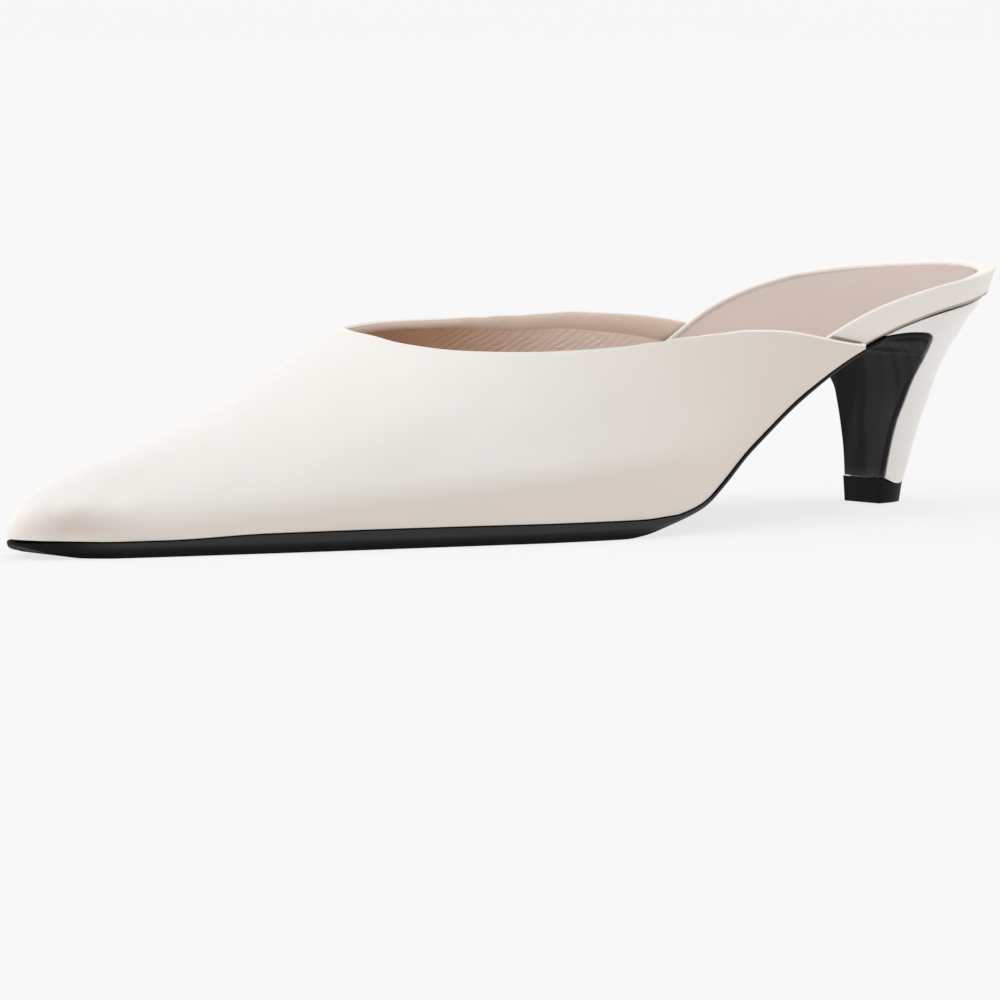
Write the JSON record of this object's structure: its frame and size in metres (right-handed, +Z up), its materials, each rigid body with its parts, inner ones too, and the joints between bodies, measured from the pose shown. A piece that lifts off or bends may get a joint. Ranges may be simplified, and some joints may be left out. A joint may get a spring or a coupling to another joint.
{
  "type": "kitten heel mule",
  "caption": "Backless pointed leather mule on a low curved heel: closed vamp, low tapering quarters, padded footbed and a sole that turns down the heel's front.",
  "frame": {"origin": "on the floor, in the middle of the shoe's length and width", "axes": "the toe points along -X and the heel along +X, the outer side of the foot faces -Y, +Z is up"},
  "size_m": [0.25, 0.0775, 0.0515],
  "materials": {
    "upper_leather": "smooth satin ivory calf leather",
    "rand_leather": "smooth satin ivory leather over a padded board",
    "sock_leather": "matt blush lining leather",
    "sole_leather": "black polished sole",
    "heel_cover": "smooth satin ivory leather over a moulded heel",
    "top_piece_rubber": "black semi-matt rubber"
  },
  "bodies": {
    "root": {"upper": "upper_leather", "footbed": "rand_leather", "sock": "sock_leather", "outsole": "sole_leather", "heel": "heel_cover", "top_piece": "top_piece_rubber"}
  },
  "joints": []
}
